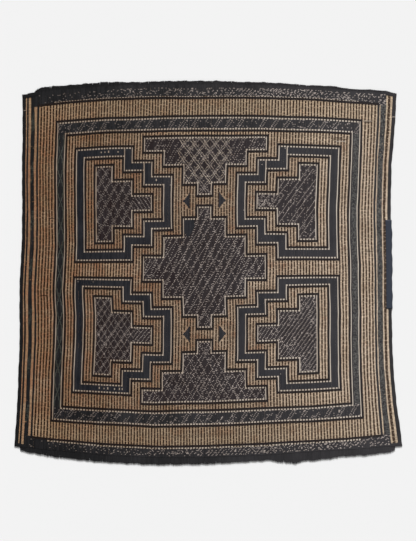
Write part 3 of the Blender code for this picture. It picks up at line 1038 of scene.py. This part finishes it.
class MatColours(bpy.types.PropertyGroup):
    """Colours of the mat's reeds and leather."""

    # The reeds go from the stained to the dry colour with their stains and with a painted light falloff that
    # darkens them towards the left.
    reed_dry: colour_property("Dry reed", "Clean dry reed", (0.575, 0.46, 0.35))
    reed_stained: colour_property("Stained reed", "Reed that is stained by use", (0.29, 0.178, 0.098))
    reed_red: colour_property("Red stain", "Reddish stain on the reeds", (0.29, 0.125, 0.06))
    reed_yellow: colour_property("Yellowed reed", "Reed that has yellowed", (0.50, 0.375, 0.23))
    cord: colour_property("Cord", "Dark brown leather cords", (0.019, 0.010, 0.0055))
    # The worn and rubbed colours are also the colours that a painted sheen pales the leather to towards the
    # right side.
    cord_worn: colour_property("Worn cord", "Cords that are rubbed paler", (0.070, 0.047, 0.035))
    light: colour_property("Light stitch", "Pale stitches and light lines", (0.53, 0.46, 0.39))
    light_stained: colour_property("Stained stitch", "Pale stitches that are stained", (0.20, 0.132, 0.084))
    speck: colour_property("Dull stitch", "Small stitches inside the figures", (0.39, 0.335, 0.305))
    speck_dark: colour_property("Stained dull stitch", "Small stained stitches", (0.105, 0.078, 0.063))
    rubbed: colour_property("Rubbed leather", "Leather that is rubbed down to grey", (0.10, 0.097, 0.092))
    rubbed_dark: colour_property("Dull leather", "Leather that is a little rubbed", (0.032, 0.034, 0.027))
    line: colour_property("Outline", "Black-brown leather of the outlines", (0.0085, 0.005, 0.0038))
    band: colour_property("Band", "Blue-black leather of the stepped bands", (0.0055, 0.0065, 0.0095))
    field: colour_property("Figure", "Brown-black leather of the figures", (0.0135, 0.008, 0.0078))
    edge: colour_property("Edge", "Black leather of the border and bindings", (0.006, 0.006, 0.0065))
    patch: colour_property("Patch", "Newer blue-black leather", (0.022, 0.032, 0.052))
    worn: colour_property("Worn leather", "Leather that is rubbed grey", (0.075, 0.07, 0.075))
    floor: colour_property("Floor", "Plain pale floor", (0.80, 0.80, 0.80))


class MatSettings(bpy.types.PropertyGroup):
    """All settings of the mat."""

    sizes: PointerProperty(type=MatSizes, name="Sizes", description="Sizes of the mat's parts")
    colours: PointerProperty(type=MatColours, name="Colours", description="Colours of the mat's parts")


def ridden(piece, slot, *nodes):
    """Hangs a finished piece on the mat's body and hides the CAD nodes that it stands for."""
    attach(piece, "root")
    if nodes:
        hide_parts(*nodes)
    return piece


class MAT_OT_reeds(bpy.types.Operator):
    """Lay the reeds side by side across the mat"""

    bl_idname = "mat.lay_reeds"
    bl_label = "Lay the Reeds"

    def execute(self, context):
        settings = context.scene.mat
        sizes = settings.sizes
        rng = np.random.default_rng(11)
        stations = np.linspace(LEFT_COLUMN - 0.2, RIGHT_COLUMN + 0.2, 25)[None, :]
        reeds = REEDS[:-END_REEDS_BEYOND]
        rows = (reeds * REED_PITCH)[:, None]
        column, row = np.broadcast_arrays(stations, rows)
        x, y = woven(column, row)
        z = np.full(x.shape, 2.0) + rng.uniform(-0.12, 0.12, x.shape)
        gauge = woven(column, row + 0.5)[1] - woven(column, row - 0.5)[1]
        half = sizes.reed_width / MM / 2 * gauge * rng.uniform(0.93, 1.03, (len(reeds), 1))
        paths = [(np.stack([x, y, z], 2), half, rng.random(len(reeds)), reeds.astype(float))]
        material = reed_finish(settings.colours)
        flat = (1.0, sizes.reed_thickness / sizes.reed_width, 1.0)
        piece = grown("reeds", paths, reed_tree(), {
            "Sides": sizes.reed_sides, "Flatness": flat, "Material": material,
        })
        ridden(piece, "reed_and_cord", "mat_field")
        return {"FINISHED"}


class MAT_OT_leather(bpy.types.Operator):
    """Work the leather through the reeds, fold it over the corners and lay on the threads"""

    bl_idname = "mat.work_leather"
    bl_label = "Work the Leather"

    def execute(self, context):
        settings = context.scene.mat
        c = settings.colours
        draft = Draft()
        tree = thong_tree()
        section = (1.0, settings.sizes.thong_crown, 1.0)
        finishes = {}
        for seed, (kind, (name, colour, rubbed, *looks, height)) in enumerate(LEATHERS.items(), 20):
            colours = [tuple(getattr(c, key)) for key in (colour, rubbed)]
            finishes[kind] = leather_finish(name, *colours, *looks)
            spread = SIDE_SPREAD if kind in ("sides", "rubbed") else SPREAD
            paths = thong_paths(draft.parts[kind], draft.covered, height, seed, spread, laid=kind in LAID_ON)
            piece = grown(f"leather_{kind}", paths, tree, {"Section": section, "Material": finishes[kind]})
            ridden(creased(piece), "cord_leather" if kind == "cords" else "binding_leather")
        ears = [strap([woven(column, row) for column, row in ends], EAR_HALF, 4.4, 7) for ends in EARS]
        piece = grown("leather_corners", ears, tree, {"Section": section, "Material": finishes["sides"]})
        ridden(piece, "binding_leather")
        for name, pale, kind in (("threads_light", True, "light"), ("threads_dark", False, "cords")):
            threads = []
            for i, (x, to, y, light) in enumerate(THREADS):
                if light == pale:
                    height = 5.1 if abs(x) > ON_BINDING else 4.1
                    threads.append(strap([(x, y), ((x + to) / 2, y + 0.6), (to, y + 0.2)], 1.0, height, i))
            piece = grown(name, threads, tree, {"Section": section, "Material": finishes[kind]})
            ridden(piece, "cord_leather")
        return {"FINISHED"}


class MAT_OT_underside(bpy.types.Operator):
    """Pass the thongs under single reeds on the mat's underside"""

    bl_idname = "mat.work_underside"
    bl_label = "Work the Underside"

    def execute(self, context):
        c = context.scene.mat.colours
        covered = Draft().covered
        near = moved(covered, 0, 1) | moved(covered, 0, -1)
        under = ~covered & near
        material = leather_finish("underside_leather", tuple(c.cord), tuple(c.worn), 0.75, 0.3)
        paths = thong_paths(under, covered, 0.55, 40, below=True)
        piece = grown("leather_underside", paths, thong_tree(), {
            "Section": (-1.0, -0.1, 1.0), "Material": material,
        })
        ridden(creased(piece), "cord_leather")
        return {"FINISHED"}


class MAT_OT_bindings(bpy.types.Operator):
    """Fold the leather bindings over both sides, and the newer patch over the right one"""

    bl_idname = "mat.fold_bindings"
    bl_label = "Fold the Bindings"

    def execute(self, context):
        c = context.scene.mat.colours
        edge = leather_finish("binding_leather", tuple(c.edge), tuple(c.worn), 0.55, 0.4)
        newer = leather_finish("patch_leather", tuple(c.patch), tuple(c.worn), 0.42, 0.35)
        left = binding_rings((LEFT_COLUMN, LEFT_EDGE_COLUMN), (BOTTOM_ROW, TOP_ROW), 1)
        right = binding_rings((RIGHT_COLUMN, RIGHT_EDGE_COLUMN), (BOTTOM_ROW, TOP_ROW), 2)
        patch = binding_rings(PATCH_COLUMNS, PATCH_ROWS, 3, raise_by=PATCH_RISE)
        ridden(lofted("side_binding_left", left, edge), "binding_leather", "binding_left")
        ridden(lofted("side_binding_right", right, edge), "binding_leather", "binding_right")
        ridden(lofted("side_patch", patch, newer), "patch_leather", "edge_patch")
        return {"FINISHED"}


class MAT_OT_fringes(bpy.types.Operator):
    """Leave the cut cords standing out at both ends"""

    bl_idname = "mat.cut_fringes"
    bl_label = "Cut the Fringes"

    def execute(self, context):
        c = context.scene.mat.colours
        material = leather_finish("fringe_leather", tuple(c.edge), tuple(c.worn), 0.75, 0.4)
        section = (1.0, 0.3, 1.0)
        for name, node, row, way, lengths, seed, loose in (
            ("fringe_upper", "fringe_top", TOP_ROW, 1, TOP_LENGTHS, 61, 0.06),
            ("fringe_lower", "fringe_bottom", BOTTOM_ROW, -1, BOTTOM_LENGTHS, 62, 0.14),
        ):
            rng = np.random.default_rng(seed)
            columns = np.arange(*FRINGE_COLUMNS, FRINGE_STEP)
            many = len(columns)
            columns = columns + rng.uniform(-0.05, 0.05, many)
            ragged = 0.03 * np.sin(columns * 1.1 + seed) + 0.02 * np.sin(columns * 2.3)
            reach = between(*zip(*lengths), columns) * (0.96 + ragged) * rng.uniform(1 - loose, 1, many)
            x, y = place(columns[:, None], row)
            x = x + rng.normal(0, 1.0, (many, 1)) * FRINGE_SHARES ** 2
            x = x + rng.normal(0, 0.4, (many, len(FRINGE_SHARES)))
            y = y + way * reach[:, None] * FRINGE_SHARES
            z = FRINGE_HEIGHTS + rng.uniform(-0.5, 0.4, (many, 1))
            half = FRINGE_HALVES * rng.uniform(0.8, 1.15, (many, 1))
            paths = [(np.stack([x, y, z], 2), half, rng.random(many), columns * 3)]
            piece = grown(name, paths, thong_tree(), {"Section": section, "Material": material})
            ridden(piece, "cord_leather", node)
        return {"FINISHED"}


class MAT_OT_stage(bpy.types.Operator):
    """Set the pale floor, the soft light and the camera straight above"""

    bl_idname = "mat.set_stage"
    bl_label = "Set the Stage"

    def execute(self, context):
        scene = context.scene
        finish = Finish("pale_floor", 0.9)
        x, y, z = finish.apart(finish.spot())
        cloud = finish.noise(finish.vector(x, y), 1.5, 2.0)
        finish.shade(finish.dimmed(tuple(scene.mat.colours.floor), 0.995 + cloud * 0.01))
        mesh = bmesh.new()
        bmesh.ops.create_grid(mesh, x_segments=2, y_segments=2, size=6.0)
        data = bpy.data.meshes.new("floor")
        mesh.to_mesh(data)
        mesh.free()
        data.transform(Matrix.Translation((0.0, 0.0, -0.0002)))
        data.materials.append(finish.material)
        placed("floor", data)

        world = bpy.data.worlds.new("soft_room")
        world.use_nodes = True
        background = world.node_tree.nodes["Background"]
        background.inputs["Color"].default_value = (1.0, 1.0, 1.0, 1.0)
        background.inputs["Strength"].default_value = ROOM_LIGHT
        scene.world = world
        lamp = bpy.data.lights.new("window", "SUN")
        lamp.angle = math.radians(WINDOW_WIDTH)
        lamp.energy = WINDOW_LIGHT
        placed("window", lamp).rotation_euler = [math.radians(angle) for angle in WINDOW_ANGLES]
        scene.view_settings.view_transform = "Standard"

        camera = bpy.data.cameras.new("camera")
        camera.sensor_width = 36.0
        camera.lens = camera.sensor_width * CAMERA_PLACE[2] / (PHOTO_SIZE[1] * MM_PER_PIXEL * MM)
        camera.clip_end = 50.0
        scene.camera = placed("camera", camera)
        scene.camera.location = CAMERA_PLACE
        return {"FINISHED"}


class MAT_PT_panel(bpy.types.Panel):
    """Lists the steps that make the mat"""

    bl_idname = "MAT_PT_panel"
    bl_label = "Reed and Leather Mat"
    bl_space_type = "VIEW_3D"
    bl_region_type = "UI"
    bl_category = "Mat"

    def draw(self, context):
        for step in STEPS:
            self.layout.operator(step.bl_idname)
        settings = context.scene.mat
        for group in (settings.sizes, settings.colours):
            for key in group.__annotations__:
                self.layout.prop(group, key)


STEPS = (MAT_OT_stage, MAT_OT_reeds, MAT_OT_leather, MAT_OT_underside, MAT_OT_bindings, MAT_OT_fringes)
CLASSES = (MatSizes, MatColours, MatSettings, *STEPS, MAT_PT_panel)


def register():
    for kind in CLASSES:
        bpy.utils.register_class(kind)
    bpy.types.Scene.mat = PointerProperty(type=MatSettings)


def unregister():
    del bpy.types.Scene.mat
    for kind in reversed(CLASSES):
        bpy.utils.unregister_class(kind)


def main():
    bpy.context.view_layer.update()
    register()
    for step in STEPS:
        family, name = step.bl_idname.split(".")
        getattr(getattr(bpy.ops, family), name)()


if __name__ == "__main__":
    main()
